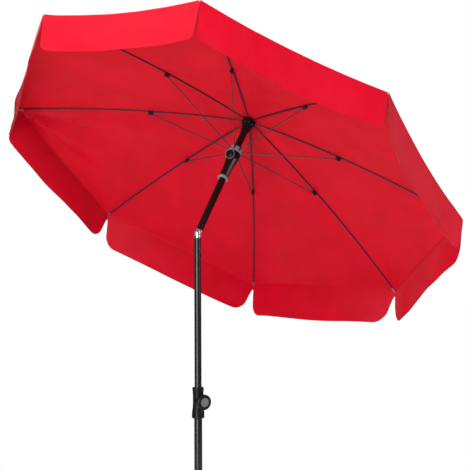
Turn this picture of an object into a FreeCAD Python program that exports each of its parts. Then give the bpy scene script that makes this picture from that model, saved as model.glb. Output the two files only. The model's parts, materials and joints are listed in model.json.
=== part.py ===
"""Tilting patio parasol on a round stand: steel pole, knee joint, eight folding ribs and a cloth canopy.

Frame: millimetres, +Z up, origin at the centre of the stand's underside, on the pole's axis. The canopy leans
towards +X about the knee hinge, whose axis is along Y. Pieces above the knee are drawn upright in the
stick's own frame (origin at the knee, +Z along the stick) and then leaned by STICK.
"""
import FreeCAD, Part
import math
import os

import Sketcher
from FreeCAD import Placement, Rotation, Vector

SIZES = {
    # stand
    "foot_height": 6, "foot_diameter": 40, "foot_circle": 400, "slab_diameter": 500, "slab_top": 66,
    "slab_rim_top": 44, "flange_diameter": 140, "flange_thickness": 6, "socket_outer": 42,
    "socket_inner": 36.4, "socket_top": 330, "bolt_circle": 104, "bolt_shank": 8, "bolt_head": 14,
    "bolt_length": 46, "stand_knob_height": 290, "stand_knob_diameter": 44, "boss_diameter": 24,
    "boss_reach": 34, "sleeve_lip_diameter": 48, "sleeve_lip": 7, "sleeve_length": 120,
    # pole
    "lower_outer": 32, "lower_inner": 29.6, "lower_end": 900, "foot_plug_flange": 4, "foot_plug_length": 26,
    "upper_outer": 28, "upper_inner": 25.6, "upper_length": 1000, "bush_length": 40, "running_gap": 0.1,
    # height collar and its clamp
    "collar_bottom": 852, "collar_height": 123, "collar_top_diameter": 46, "collar_waist_diameter": 42,
    "collar_bottom_diameter": 50.6, "clamp_height": 920, "clamp_azimuth": -112, "clamp_boss_reach": 32,
    "clamp_boss_base": 48, "clamp_boss_tip": 34, "knob_diameter": 62, "knob_thickness": 18, "knob_start": 34,
    "flute_count": 24, "flute_diameter": 4.4, "knob_cap_diameter": 36, "knob_cap_height": 2.5,
    "screw_diameter": 8, "shoe_diameter": 10, "shoe_thickness": 3, "shoe_gap": 0.15,
    # knee and stick
    "knee_height": 1590, "tilt": 38.3, "knee_shoulder": 16, "slot_width": 10, "pin_diameter": 6,
    "plug_length": 34, "stick_start": 16, "stick_end": 574,
    # crown, along the stick from the knee
    "crown_level": 584, "hub_diameter": 57, "hub_bottom": 566, "hub_top": 590, "hub_skirt": 40, "rib_count": 8,
    "rib_first_angle": 22.5, "pivot_radius": 22, "wire_diameter": 2.4, "eye_diameter": 6.4, "eye_width": 5,
    "slot_clearance": 0.5, "finial_gap": 5, "finial_diameter": 64, "finial_height": 42,
    # runner, along the stick from the knee
    "runner_drop": 160, "runner_pivot_radius": 26, "runner_bottom": 278, "runner_ring_height": 10,
    "runner_ring_diameter": 45, "runner_neck_diameter": 38, "runner_head_diameter": 55, "runner_bore": 28.6,
    "ring_seat": 412, "ring_top": 436, "ring_diameter": 60, "button_azimuth": -168, "button_level": 400,
    "button_diameter": 34, "button_lean": 25, "button_base": 27, "button_dome": 15, "button_travel": 2,
    "inlay_azimuth": -106, "inlay_width": 13, "inlay_length": 84,
    # ribs and stretchers: a rib falls by slope * r + bend * r^2 below the crown level
    "rib_reach": 975, "rib_slope": 0.1185, "rib_bend": 0.00010626, "rib_diameter": 5.5, "joint_reach": 420,
    "stretcher_diameter": 4.6, "clip_length": 20, "clip_width": 8.2, "clip_drop": 10, "tip_diameter": 9,
    "tip_length": 20,
    # cloth
    "cloth": 1.6, "cloth_lift": 4.2, "cloth_gap": 0.4, "cloth_inner": 15, "valance_depth": 134,
    "valance_swing": 0.6, "notch_apex": 22, "notch_half_width": 20,
}

doc = FreeCAD.newDocument("patio_umbrella")
sheet = doc.addObject("Spreadsheet::Sheet", "sizes")
for row, (alias, value) in enumerate(SIZES.items(), start=1):
    sheet.set("A%d" % row, alias)
    sheet.set("B%d" % row, str(value))
    sheet.setAlias("B%d" % row, alias)
doc.recompute()

NODES = []


def size(alias):
    return float(sheet.get(alias))


def value_of(expression):
    """The number an expression in sheet aliases comes to, so that a sketch starts in its final shape."""
    return float(sheet.evalExpression(expression.replace("sizes.", "")))


def node(feature, label, placement=None):
    """Marks a feature as a sub-part of the finished object."""
    feature.Label = label
    if placement is not None:
        feature.Placement = placement
    NODES.append(feature)
    return feature


def bind(feature, **expressions):
    for prop, expression in expressions.items():
        feature.setExpression(prop, expression)
    return feature


def origin_plane(body, role):
    return next(f for f in body.Origin.OriginFeatures if f.Role == role)


def turned(name, profile):
    """A PartDesign body revolved about Z. The profile lists (radius, height) pairs of sheet expressions."""
    body = doc.addObject("PartDesign::Body", name)
    sketch = body.newObject("Sketcher::SketchObject", name + "_profile")
    sketch.AttachmentSupport = (origin_plane(body, "XZ_Plane"), [""])
    sketch.MapMode = "FlatFace"
    corners = [Vector(value_of(r), value_of(z), 0) for r, z in profile]
    count = len(corners)
    for i in range(count):
        sketch.addGeometry(Part.LineSegment(corners[i], corners[(i + 1) % count]), False)
    for i in range(count):
        sketch.addConstraint(Sketcher.Constraint("Coincident", i, 2, (i + 1) % count, 1))
    for i, (radius, height) in enumerate(profile):
        if corners[i].x < 1e-9:
            sketch.addConstraint(Sketcher.Constraint("PointOnObject", i, 1, -2))
        else:
            k = sketch.addConstraint(Sketcher.Constraint("DistanceX", -1, 1, i, 1, corners[i].x))
            sketch.setExpression("Constraints[%d]" % k, radius)
        if abs(corners[i].y) < 1e-9:
            sketch.addConstraint(Sketcher.Constraint("PointOnObject", i, 1, -1))
        else:
            k = sketch.addConstraint(Sketcher.Constraint("DistanceY", -1, 1, i, 1, corners[i].y))
            sketch.setExpression("Constraints[%d]" % k, height)
    revolution = body.newObject("PartDesign::Revolution", name + "_revolution")
    revolution.Profile = sketch
    revolution.ReferenceAxis = (sketch, ["V_Axis"])
    revolution.Angle = 360
    body.Tip = revolution
    return body


def tube(name, outer, inner, low, high):
    """A round tube between two heights, from diameters given as sheet expressions."""
    inside, outside = inner + " / 2", outer + " / 2"
    return turned(name, [(inside, low), (outside, low), (outside, high), (inside, high)])


def cylinder(name, radius, height, base=Vector(), direction=Vector(0, 0, 1)):
    """A Part cylinder along a direction, its radius and height sheet expressions."""
    solid = doc.addObject("Part::Cylinder", name)
    bind(solid, Radius=radius, Height=height)
    solid.Placement = Placement(base, Rotation(Vector(0, 0, 1), direction))
    return solid


def box(name, low, high):
    solid = doc.addObject("Part::Box", name)
    solid.Length, solid.Width, solid.Height = high.x - low.x, high.y - low.y, high.z - low.z
    solid.Placement = Placement(low, Rotation())
    return solid


def ring(name, centre_radius, wire_radius, level):
    solid = doc.addObject("Part::Torus", name)
    bind(solid, Radius1=centre_radius, Radius2=wire_radius)
    solid.Placement = Placement(Vector(0, 0, level), Rotation())
    return solid


def boolean(kind, name, shapes):
    feature = doc.addObject(kind, name)
    feature.Shapes = shapes
    return feature


def fused(name, shapes):
    return boolean("Part::MultiFuse", name, shapes)


def common(name, shapes):
    return boolean("Part::MultiCommon", name, shapes)


def cut(name, base, tools):
    feature = doc.addObject("Part::Cut", name)
    feature.Base = base
    feature.Tool = tools[0] if len(tools) == 1 else fused(name + "_tools", tools)
    return feature


def shape_node(label, shape, placement=None):
    """A sub-part whose shape comes from Part's own functions: a swept wire or a loft."""
    feature = doc.addObject("Part::Feature", label)
    feature.Shape = shape
    return node(feature, label, placement)


def radial(azimuth):
    return Vector(math.cos(math.radians(azimuth)), math.sin(math.radians(azimuth)), 0)


def polar(radius, azimuth, level):
    point = radial(azimuth) * radius
    point.z = level
    return point


KNEE = Vector(0, 0, size("knee_height"))
STICK = Placement(KNEE, Rotation(Vector(0, 1, 0), size("tilt")))
CLAMP_AZIMUTH = size("clamp_azimuth")
STAND_KNOB_AZIMUTH = CLAMP_AZIMUTH


# ---------------------------------------------------------------- stand
def stand():
    bolt_points = [polar(size("bolt_circle") / 2, 45 + 90 * i, 0) for i in range(4)]
    lift = Vector(0, 0, 1)
    slab = turned("slab_blank", [
        ("0", "sizes.foot_height"), ("sizes.slab_diameter / 2 - 8", "sizes.foot_height"),
        ("sizes.slab_diameter / 2", "sizes.foot_height + 8"),
        ("sizes.slab_diameter / 2", "sizes.slab_rim_top - 10"),
        ("sizes.slab_diameter / 2 - 12", "sizes.slab_rim_top"),
        ("sizes.flange_diameter / 2 + 6", "sizes.slab_top"), ("0", "sizes.slab_top")])
    wells = [cylinder("bolt_well_%d" % i, "sizes.bolt_shank / 2 + 0.3", "sizes.bolt_length",
                      p + lift * (size("slab_top") - size("bolt_length") + 1))
             for i, p in enumerate(bolt_points)]
    node(cut("slab_cut", slab, wells), "base_slab")

    foot_places = [Vector()] + [polar(size("foot_circle") / 2, 45 + 90 * i, 0) for i in range(4)]
    feet = [cylinder("foot_pad_%d" % i, "sizes.foot_diameter / 2", "sizes.foot_height", place)
            for i, place in enumerate(foot_places)]
    node(compound("feet_group", feet), "base_feet")

    socket = turned("socket_blank", [
        ("sizes.socket_inner / 2", "sizes.slab_top"), ("sizes.flange_diameter / 2", "sizes.slab_top"),
        ("sizes.flange_diameter / 2", "sizes.slab_top + sizes.flange_thickness"),
        ("sizes.socket_outer / 2 + 8", "sizes.slab_top + sizes.flange_thickness"),
        ("sizes.socket_outer / 2", "sizes.slab_top + sizes.flange_thickness + 8"),
        ("sizes.socket_outer / 2", "sizes.socket_top"), ("sizes.socket_inner / 2", "sizes.socket_top")])
    out = radial(STAND_KNOB_AZIMUTH)
    knob_level = lift * size("stand_knob_height")
    boss = cylinder("stand_boss", "sizes.boss_diameter / 2", "sizes.boss_reach - sizes.socket_outer / 2 + 2",
                    knob_level + out * (size("socket_outer") / 2 - 2), out)
    bored = cylinder("stand_boss_bore", "sizes.screw_diameter / 2 + 0.05", "60", knob_level, out)
    holes = [cylinder("flange_hole_%d" % i, "sizes.bolt_shank / 2 + 0.3", "30",
                      p + lift * (size("slab_top") - 5))
             for i, p in enumerate(bolt_points)]
    node(cut("socket_cut", fused("socket_body", [socket, boss]), [bored] + holes), "base_socket")

    bolts = []
    for i, p in enumerate(bolt_points):
        seat = p + lift * (size("slab_top") + size("flange_thickness"))
        shank = cylinder("bolt_shank_%d" % i, "sizes.bolt_shank / 2", "sizes.bolt_length - 1",
                         seat - lift * (size("bolt_length") - 1))
        head = doc.addObject("Part::Prism", "bolt_head_%d" % i)
        head.Polygon = 6
        bind(head, Circumradius="sizes.bolt_head / 2", Height="5")
        head.Placement = Placement(seat, Rotation())
        bolts.append(fused("bolt_%d" % i, [shank, head]))
    node(compound("bolt_group", bolts), "socket_bolts")

    sleeve = turned("sleeve_blank", [
        ("sizes.lower_outer / 2 + 0.1", "sizes.socket_top - sizes.sleeve_length"),
        ("sizes.socket_inner / 2", "sizes.socket_top - sizes.sleeve_length"),
        ("sizes.socket_inner / 2", "sizes.socket_top"), ("sizes.sleeve_lip_diameter / 2", "sizes.socket_top"),
        ("sizes.sleeve_lip_diameter / 2 - 2", "sizes.socket_top + sizes.sleeve_lip"),
        ("sizes.lower_outer / 2 + 0.1", "sizes.socket_top + sizes.sleeve_lip")])
    window = cylinder("sleeve_window", "sizes.screw_diameter / 2 + 0.5", "40", knob_level, out)
    node(cut("sleeve_cut", sleeve, [window]), "pole_sleeve")

    node(clamp_knob("stand_knob", size("boss_reach") + 3, size("lower_outer") / 2 + 0.1,
                    size("stand_knob_diameter")),
         "base_clamp_knob", radial_frame(STAND_KNOB_AZIMUTH, size("stand_knob_height")))


def compound(name, shapes):
    group = doc.addObject("Part::Compound", name)
    group.Links = shapes
    return group


def radial_frame(azimuth, level):
    """The frame of a part drawn along +Z that points outwards from the pole at a level."""
    return Placement(Vector(0, 0, level), Rotation(Vector(0, 0, 1), radial(azimuth)))


def clamp_knob(name, start, screw_start, diameter):
    """A star knob with its moulded-in screw, drawn along +Z from the pole's axis."""
    thickness = size("knob_thickness")
    screw = size("screw_diameter") / 2
    rim = diameter / 2
    blank = turned(name + "_blank", [
        ("0", "%g" % screw_start), ("%g" % screw, "%g" % screw_start), ("%g" % screw, "%g" % start),
        ("%g" % (rim * 0.6), "%g" % start), ("%g" % rim, "%g" % (start + 5)),
        ("%g" % rim, "%g" % (start + thickness - 3)), ("%g" % (rim - 3), "%g" % (start + thickness)),
        ("0", "%g" % (start + thickness))])
    count = int(size("flute_count"))
    flutes = [cylinder("%s_flute_%d" % (name, i), "sizes.flute_diameter / 2", "40",
                       polar(rim + 1.2, 360.0 / count * i, start - 5)) for i in range(count)]
    return cut(name, blank, flutes)


# ---------------------------------------------------------------- poles, collar and height clamp
def poles():
    node(turned("pole_foot", [
        ("0", "sizes.slab_top"), ("sizes.lower_outer / 2", "sizes.slab_top"),
        ("sizes.lower_outer / 2", "sizes.slab_top + sizes.foot_plug_flange"),
        ("sizes.lower_inner / 2", "sizes.slab_top + sizes.foot_plug_flange"),
        ("sizes.lower_inner / 2", "sizes.slab_top + sizes.foot_plug_length"),
        ("0", "sizes.slab_top + sizes.foot_plug_length")]), "pole_foot")
    node(tube("lower_tube", "sizes.lower_outer", "sizes.lower_inner",
              "sizes.slab_top + sizes.foot_plug_flange", "sizes.lower_end"), "lower_pole")

    top = "sizes.knee_height - sizes.knee_shoulder"
    bottom = top + " - sizes.upper_length"
    node(tube("upper_tube", "sizes.upper_outer", "sizes.upper_inner", bottom, top), "upper_pole")
    node(turned("bush", [
        ("0", bottom + " - 5"), ("sizes.lower_inner / 2 - sizes.running_gap", bottom + " - 5"),
        ("sizes.lower_inner / 2 - sizes.running_gap", bottom + " + sizes.bush_length"),
        ("sizes.upper_outer / 2", bottom + " + sizes.bush_length"), ("sizes.upper_outer / 2", bottom),
        ("0", bottom)]), "upper_pole_bush")


def height_collar():
    low = "sizes.collar_bottom"
    high = "sizes.collar_bottom + sizes.collar_height"
    blank = turned("collar_blank", [
        ("sizes.lower_outer / 2", low), ("sizes.collar_bottom_diameter / 2 - 2", low),
        ("sizes.collar_bottom_diameter / 2", low + " + 3"),
        ("sizes.collar_bottom_diameter / 2 - 0.4", low + " + 22"),
        ("sizes.collar_waist_diameter / 2 + 1", low + " + 42"), ("sizes.collar_waist_diameter / 2", low + " + 62"),
        ("sizes.collar_waist_diameter / 2", low + " + 88"), ("sizes.collar_top_diameter / 2 - 1", high + " - 14"),
        ("sizes.collar_top_diameter / 2", high + " - 10"), ("sizes.collar_top_diameter / 2", high + " - 1.5"),
        ("sizes.collar_top_diameter / 2 - 1.5", high), ("sizes.upper_outer / 2 + sizes.running_gap", high),
        ("sizes.upper_outer / 2 + sizes.running_gap", "sizes.lower_end"),
        ("sizes.lower_outer / 2", "sizes.lower_end")])
    out = radial(CLAMP_AZIMUTH)
    level = Vector(0, 0, size("clamp_height"))
    boss = doc.addObject("Part::Cone", "collar_boss")
    bind(boss, Radius1="sizes.clamp_boss_base / 2", Radius2="sizes.clamp_boss_tip / 2",
         Height="sizes.clamp_boss_reach - 10")
    boss.Placement = Placement(level + out * 10, Rotation(Vector(0, 0, 1), out))
    hollow = cylinder("collar_bore", "sizes.upper_outer / 2 + sizes.running_gap", "sizes.collar_height",
                      Vector(0, 0, size("lower_end")))
    lower_hollow = cylinder("collar_lower_bore", "sizes.lower_outer / 2", "sizes.lower_end - sizes.collar_bottom",
                            Vector(0, 0, size("collar_bottom")))
    thread = cylinder("collar_thread", "sizes.screw_diameter / 2 + 0.05", "60", level, out)
    shoe_room = cylinder("shoe_room", "sizes.shoe_diameter / 2 + 0.1",
                         "sizes.upper_outer / 2 + sizes.shoe_thickness + 4", level, out)
    node(cut("collar_cut", fused("collar_body", [blank, boss]), [hollow, lower_hollow, thread, shoe_room]),
         "height_collar")

    touch = size("upper_outer") / 2 + size("shoe_gap")
    shoe = cylinder("shoe_pad", "sizes.shoe_diameter / 2", "sizes.shoe_thickness + 1", Vector(0, 0, touch))
    pole_side = cylinder("shoe_hollow", "sizes.upper_outer / 2 + sizes.shoe_gap", "40",
                         Vector(-20, 0, 0), Vector(1, 0, 0))
    node(cut("shoe_cut", shoe, [pole_side]), "clamp_shoe", radial_frame(CLAMP_AZIMUTH, size("clamp_height")))

    start = size("knob_start")
    face = start + size("knob_thickness")
    knob = clamp_knob("height_knob", start, touch + size("shoe_thickness") + 1.2, size("knob_diameter"))
    recess = cylinder("cap_recess", "sizes.knob_cap_diameter / 2", "5", Vector(0, 0, face - 1.5))
    frame = radial_frame(CLAMP_AZIMUTH, size("clamp_height"))
    node(cut("height_knob_recessed", knob, [recess]), "clamp_knob", frame)
    node(turned("knob_cap", [
        ("0", "%g" % (face - 1.5)), ("sizes.knob_cap_diameter / 2", "%g" % (face - 1.5)),
        ("sizes.knob_cap_diameter / 2", "%g" % (face + 0.6)),
        ("sizes.knob_cap_diameter / 2 - 4", "%g + sizes.knob_cap_height" % (face - 1)),
        ("0", "%g + sizes.knob_cap_height" % face)]), "clamp_knob_cap", frame)


# ---------------------------------------------------------------- knee
def knee():
    outer = size("upper_outer") / 2
    shoulder = size("knee_shoulder")
    slot = size("slot_width") / 2
    # drawn with the hinge at the origin, then moved to the knee
    barrel = cylinder("fork_barrel", "sizes.upper_outer / 2", "60", Vector(0, 0, -shoulder))
    round_end = cylinder("fork_round", "sizes.upper_outer / 2 + 0.6", "60", Vector(0, 30, 0), Vector(0, -1, 0))
    below = box("fork_below", Vector(-30, -30, -shoulder - 1), Vector(30, 30, 0))
    head = common("fork_head", [barrel, fused("fork_outline", [round_end, below])])
    plug = cylinder("fork_plug", "sizes.upper_inner / 2", "sizes.plug_length",
                    Vector(0, 0, -shoulder - size("plug_length")))
    gap = box("fork_gap", Vector(-30, -slot, -shoulder + 2), Vector(30, slot, 40))
    pin_hole = cylinder("fork_pin_hole", "sizes.pin_diameter / 2", "60", Vector(0, 30, 0), Vector(0, -1, 0))
    node(cut("fork_cut", fused("fork_solid", [head, plug]), [gap, pin_hole]), "knee_fork",
         Placement(KNEE, Rotation()))

    start = size("stick_start")
    tongue_half = slot - 0.3
    outline = cylinder("tongue_round", "sizes.knee_shoulder - 3", "%g" % (2 * tongue_half),
                       Vector(0, tongue_half, 0), Vector(0, -1, 0))
    neck = box("tongue_neck", Vector(-outer + 3, -tongue_half, 0), Vector(outer - 3, tongue_half, start + 2))
    tongue_plug = cylinder("tongue_plug", "sizes.upper_inner / 2", "sizes.plug_length", Vector(0, 0, start))
    pivot_hole = cylinder("tongue_hole", "sizes.pin_diameter / 2 + 0.05", "60",
                          Vector(0, 30, 0), Vector(0, -1, 0))
    node(cut("tongue_cut", fused("tongue_solid", [outline, neck, tongue_plug]), [pivot_hole]),
         "knee_tongue", STICK)

    shaft = cylinder("knee_pin_shaft", "sizes.pin_diameter / 2", "sizes.upper_outer",
                     Vector(0, outer, 0), Vector(0, -1, 0))
    node(shaft, "knee_pin", Placement(KNEE + Vector(0, outer, 0), Rotation(Vector(0, 0, 1), Vector(0, -1, 0))))
    node(tube("stick", "sizes.upper_outer", "sizes.upper_inner", "sizes.stick_start", "sizes.stick_end"),
         "stick_tube", STICK)


# ---------------------------------------------------------------- crown
def pivot_level():
    return size("crown_level") - size("rib_slope") * size("pivot_radius")


def rib_angles():
    step = 360.0 / size("rib_count")
    return [size("rib_first_angle") + step * i for i in range(int(size("rib_count")))]


def slots(name, inner_radius, low, high):
    """Radial slots, one for each rib, wide enough for an eye."""
    half = size("eye_width") / 2 + size("slot_clearance")
    pieces = []
    for i, angle in enumerate(rib_angles()):
        slot = box("%s_%d" % (name, i), Vector(inner_radius, -half, low), Vector(60, half, high))
        slot.Placement = Placement(Vector(), Rotation(Vector(0, 0, 1), angle)).multiply(slot.Placement)
        pieces.append(slot)
    return pieces


def crown():
    blank = turned("hub_blank", [
        ("sizes.upper_outer / 2", "sizes.hub_bottom - sizes.hub_skirt"),
        ("17", "sizes.hub_bottom - sizes.hub_skirt"),
        ("18.5", "sizes.hub_bottom - 4"), ("sizes.hub_diameter / 2 - 2", "sizes.hub_bottom"),
        ("sizes.hub_diameter / 2", "sizes.hub_bottom + 3"), ("sizes.hub_diameter / 2", "sizes.hub_top - 3"),
        ("sizes.hub_diameter / 2 - 3", "sizes.hub_top"), ("6", "sizes.hub_top"),
        ("6", "sizes.stick_end"), ("sizes.upper_outer / 2", "sizes.stick_end")])
    groove = ring("hub_groove", "sizes.pivot_radius", "sizes.wire_diameter / 2", pivot_level())
    tools = slots("hub_slot", 18, size("hub_bottom") - 6, size("hub_top") + 5) + [groove]
    node(cut("hub_cut", blank, tools), "crown_hub", STICK)
    node(ring("pivot_wire", "sizes.pivot_radius", "sizes.wire_diameter / 2", pivot_level()), "crown_wire",
         STICK.multiply(Placement(Vector(0, 0, pivot_level()), Rotation())))
    cap_base = "sizes.hub_top + sizes.finial_gap"
    rim, tall = "sizes.finial_diameter / 2", " + sizes.finial_height"
    node(turned("finial", [
        ("0", "sizes.hub_top - 12"), ("6", "sizes.hub_top - 12"), ("6", cap_base), (rim + " - 1", cap_base),
        (rim, cap_base + " + 3"), (rim + " - 6", cap_base + " + 9"), (rim + " - 16", cap_base + " + 15"),
        (rim + " - 21", cap_base + tall + " - 18"), (rim + " - 20", cap_base + tall + " - 10"),
        (rim + " - 24", cap_base + tall + " - 3"), ("0", cap_base + tall)]), "crown_cap", STICK)


# ---------------------------------------------------------------- runner
def runner():
    ring_level = size("crown_level") - size("runner_drop")
    seat = "sizes.runner_bottom + sizes.runner_ring_height"
    bore = "sizes.runner_bore / 2"
    blank = turned("runner_blank", [
        (bore, seat), ("sizes.runner_neck_diameter / 2 + 1.5", seat),
        ("sizes.runner_neck_diameter / 2", seat + " + 8"), ("sizes.runner_neck_diameter / 2", seat + " + 40"),
        ("sizes.runner_neck_diameter / 2 + 2.5", seat + " + 68"),
        ("sizes.runner_head_diameter / 2 - 1.5", seat + " + 98"),
        ("sizes.runner_head_diameter / 2", "sizes.ring_seat - 14"),
        ("sizes.runner_head_diameter / 2", "sizes.ring_seat"), (bore, "sizes.ring_seat")])
    out = radial(size("button_azimuth"))
    level = Vector(0, 0, size("button_level"))
    lean = math.radians(size("button_lean"))
    aim = (out * math.cos(lean) + Vector(0, 0, -math.sin(lean))).normalize()
    button_frame = Placement(level, Rotation(Vector(0, 0, 1), aim))
    housing = cylinder("button_housing", "sizes.button_diameter / 2 + 3", "18", level + aim * 16, aim)
    bore_clear = cylinder("runner_bore_clear", bore, "300", Vector(0, 0, size("runner_bottom")))
    floor = size("button_base") - size("button_travel") - 0.4
    well = cylinder("button_well", "sizes.button_diameter / 2 + 0.4", "40", level + aim * floor, aim)
    spring_well = cylinder("spring_well", "6", "12", level + aim * 18.5, aim)
    groove_frame = Placement(Vector(), Rotation(Vector(0, 0, 1), size("inlay_azimuth")))
    inlay_tool = inlay_block("inlay_cut")
    inlay_tool.Placement = groove_frame.multiply(inlay_tool.Placement)
    top_trim = box("runner_top_trim", Vector(-80, -80, size("ring_seat")),
                   Vector(80, 80, size("ring_seat") + 60))
    node(cut("runner_cut", fused("runner_solid", [blank, housing]),
             [bore_clear, well, spring_well, inlay_tool, top_trim]), "runner_body", STICK)

    # the grey strip fills its groove and stands 1 mm proud of the neck
    skin = turned("inlay_skin", [
        ("18", seat + " + 2"), ("sizes.runner_neck_diameter / 2 + 1", seat + " + 8"),
        ("sizes.runner_neck_diameter / 2 + 1", seat + " + 40"),
        ("sizes.runner_neck_diameter / 2 + 3.5", seat + " + 68"),
        ("sizes.runner_head_diameter / 2 - 0.5", seat + " + 98"), ("18", seat + " + 98")])
    strip = inlay_block("inlay_block")
    strip.Placement = groove_frame.multiply(strip.Placement)
    node(common("inlay", [skin, strip]), "runner_inlay", STICK)

    lower_ring = turned("lower_ring", [
        (bore, "sizes.runner_bottom"), ("sizes.runner_ring_diameter / 2 - 1.5", "sizes.runner_bottom"),
        ("sizes.runner_ring_diameter / 2", "sizes.runner_bottom + 2"),
        ("sizes.runner_ring_diameter / 2 - 1", seat), (bore, seat)])
    upper_blank = turned("upper_ring", [
        (bore, "sizes.ring_seat"), ("sizes.ring_diameter / 2 - 2", "sizes.ring_seat"),
        ("sizes.ring_diameter / 2", "sizes.ring_seat + 4"), ("sizes.ring_diameter / 2", "sizes.ring_top - 2"),
        ("sizes.ring_diameter / 2 - 2", "sizes.ring_top"), (bore, "sizes.ring_top")])
    groove = ring("ring_groove", "sizes.runner_pivot_radius", "sizes.wire_diameter / 2", ring_level)
    toothed = cut("toothed_ring", upper_blank,
                  slots("ring_slot", 21, size("ring_seat") + 3, size("ring_top") + 5) + [groove])
    wire = ring("runner_wire", "sizes.runner_pivot_radius", "sizes.wire_diameter / 2", ring_level)
    node(compound("runner_ring_group", [lower_ring, toothed, wire]), "runner_rings", STICK)

    base = "sizes.button_base"
    node(turned("button", [
        ("0", base), ("sizes.button_diameter / 2", base),
        ("sizes.button_diameter / 2", base + " + sizes.button_dome - 6"),
        ("sizes.button_diameter / 2 - 2", base + " + sizes.button_dome - 4"),
        ("sizes.button_diameter / 2 - 7", base + " + sizes.button_dome - 1.5"),
        ("0", base + " + sizes.button_dome")]), "runner_button", STICK.multiply(button_frame))
    node(tube("spring_sleeve", "10", "7", "19", base + " - 0.3"), "runner_button_spring",
         STICK.multiply(button_frame))


def inlay_block(name):
    low = size("runner_bottom") + size("runner_ring_height") + 6
    half = size("inlay_width") / 2
    return box(name, Vector(17.2, -half, low), Vector(40, half, low + size("inlay_length")))


# ---------------------------------------------------------------- ribs, stretchers and clips
def rib_drop(reach):
    return size("rib_slope") * reach + size("rib_bend") * reach * reach


def rib_point(reach):
    return Vector(reach, 0, size("crown_level") - rib_drop(reach))


def rib_tangent(reach):
    return Vector(1, 0, -size("rib_slope") - 2 * size("rib_bend") * reach).normalize()


def eye(centre, outer_diameter, width, hole_diameter):
    across = Vector(0, width / 2, 0)
    disc = Part.makeCylinder(outer_diameter / 2, width, centre - across, Vector(0, 1, 0))
    return disc.cut(Part.makeCylinder(hole_diameter / 2, width, centre - across, Vector(0, 1, 0)))


def swept_rod(points, diameter):
    """A round rod along the arc through three points."""
    path = Part.Wire(Part.Arc(*points).toShape())
    circle = Part.Circle(points[0], path.Edges[0].tangentAt(path.Edges[0].FirstParameter), diameter / 2)
    return path.makePipeShell([Part.Wire(circle.toShape())], True, True)


def rib_shape():
    hole = size("wire_diameter") + 0.6
    start = Vector(size("pivot_radius"), 0, pivot_level())
    rod_start = start + rib_tangent(0) * 2.6
    end = rib_point(size("rib_reach") - 6)
    rod = swept_rod([rod_start, rib_point(size("joint_reach")), end], size("rib_diameter"))
    return rod.fuse(eye(start, size("eye_diameter"), size("eye_width"), hole))


def joint_point():
    """The rivet between a stretcher and its rib, in the clip below the rib."""
    return rib_point(size("joint_reach")) - Vector(0, 0, size("clip_drop"))


def stretcher_shape():
    start = Vector(size("runner_pivot_radius"), 0, size("crown_level") - size("runner_drop"))
    end = joint_point()
    along = (end - start).normalize()
    length = (end - start).Length - 9
    rod = Part.makeCylinder(size("stretcher_diameter") / 2, length, start + along * 2.6, along)
    flat = Part.makeBox(16, 2.4, 6, Vector(-14, -1.2, -3))
    flat = flat.fuse(Part.makeCylinder(3.4, 2.4, Vector(0, -1.2, 0), Vector(0, 1, 0)))
    flat = flat.cut(Part.makeCylinder(1.6, 2.4, Vector(0, -1.2, 0), Vector(0, 1, 0)))
    flat.Placement = Placement(end, Rotation(Vector(1, 0, 0), along))
    runner_eye = eye(start, size("eye_diameter"), size("eye_width"), size("wire_diameter") + 0.6)
    return rod.fuse([flat, runner_eye])


def fittings_shape():
    """The clip that straddles a rib, its two rivet heads and the cap on the rib's tip."""
    half = size("clip_length") / 2
    width = size("clip_width") / 2
    above = size("rib_diameter") / 2 + 1
    below = size("clip_drop") + 5
    outer = Part.makeBox(2 * half, 2 * width, above + below, Vector(-half, -width, -below))
    inner = Part.makeBox(2 * half, size("rib_diameter") + 0.1, above + below,
                         Vector(-half, -size("rib_diameter") / 2 - 0.05, -below - 1))
    clip = outer.cut(inner)
    clip.Placement = Placement(rib_point(size("joint_reach")),
                               Rotation(Vector(1, 0, 0), rib_tangent(size("joint_reach"))))
    heads = []
    for side in (-1, 1):
        foot = joint_point() + Vector(0, side * width, 0)
        heads.append(Part.makeCone(3.2, 2, 1.4, foot, Vector(0, side, 0)))
    return Part.makeCompound([clip] + heads + [tip_cap(0).cut(rib_shape())])


def tip_cap(room):
    """The round-ended cap on a rib's tip, grown by some room all round."""
    along = rib_tangent(size("rib_reach"))
    tip_end = rib_point(size("rib_reach")) + along * 4
    length = size("tip_length") + room
    cap = Part.makeCylinder(size("tip_diameter") / 2 + room, length, tip_end - along * length, along)
    return cap.fuse(Part.makeSphere(size("tip_diameter") / 2 + room, tip_end))


# ---------------------------------------------------------------- cloth
def cloth_level(reach):
    """The cloth's underside above a rib: it rests on the hub, then comes down to the rib."""
    hub_rest = size("hub_top") + 1.2
    on_rib = size("crown_level") - rib_drop(reach) + size("cloth_lift")
    blend = min(max((reach - 32) / 60.0, 0), 1)
    return hub_rest * (1 - blend) + on_rib * blend


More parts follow.
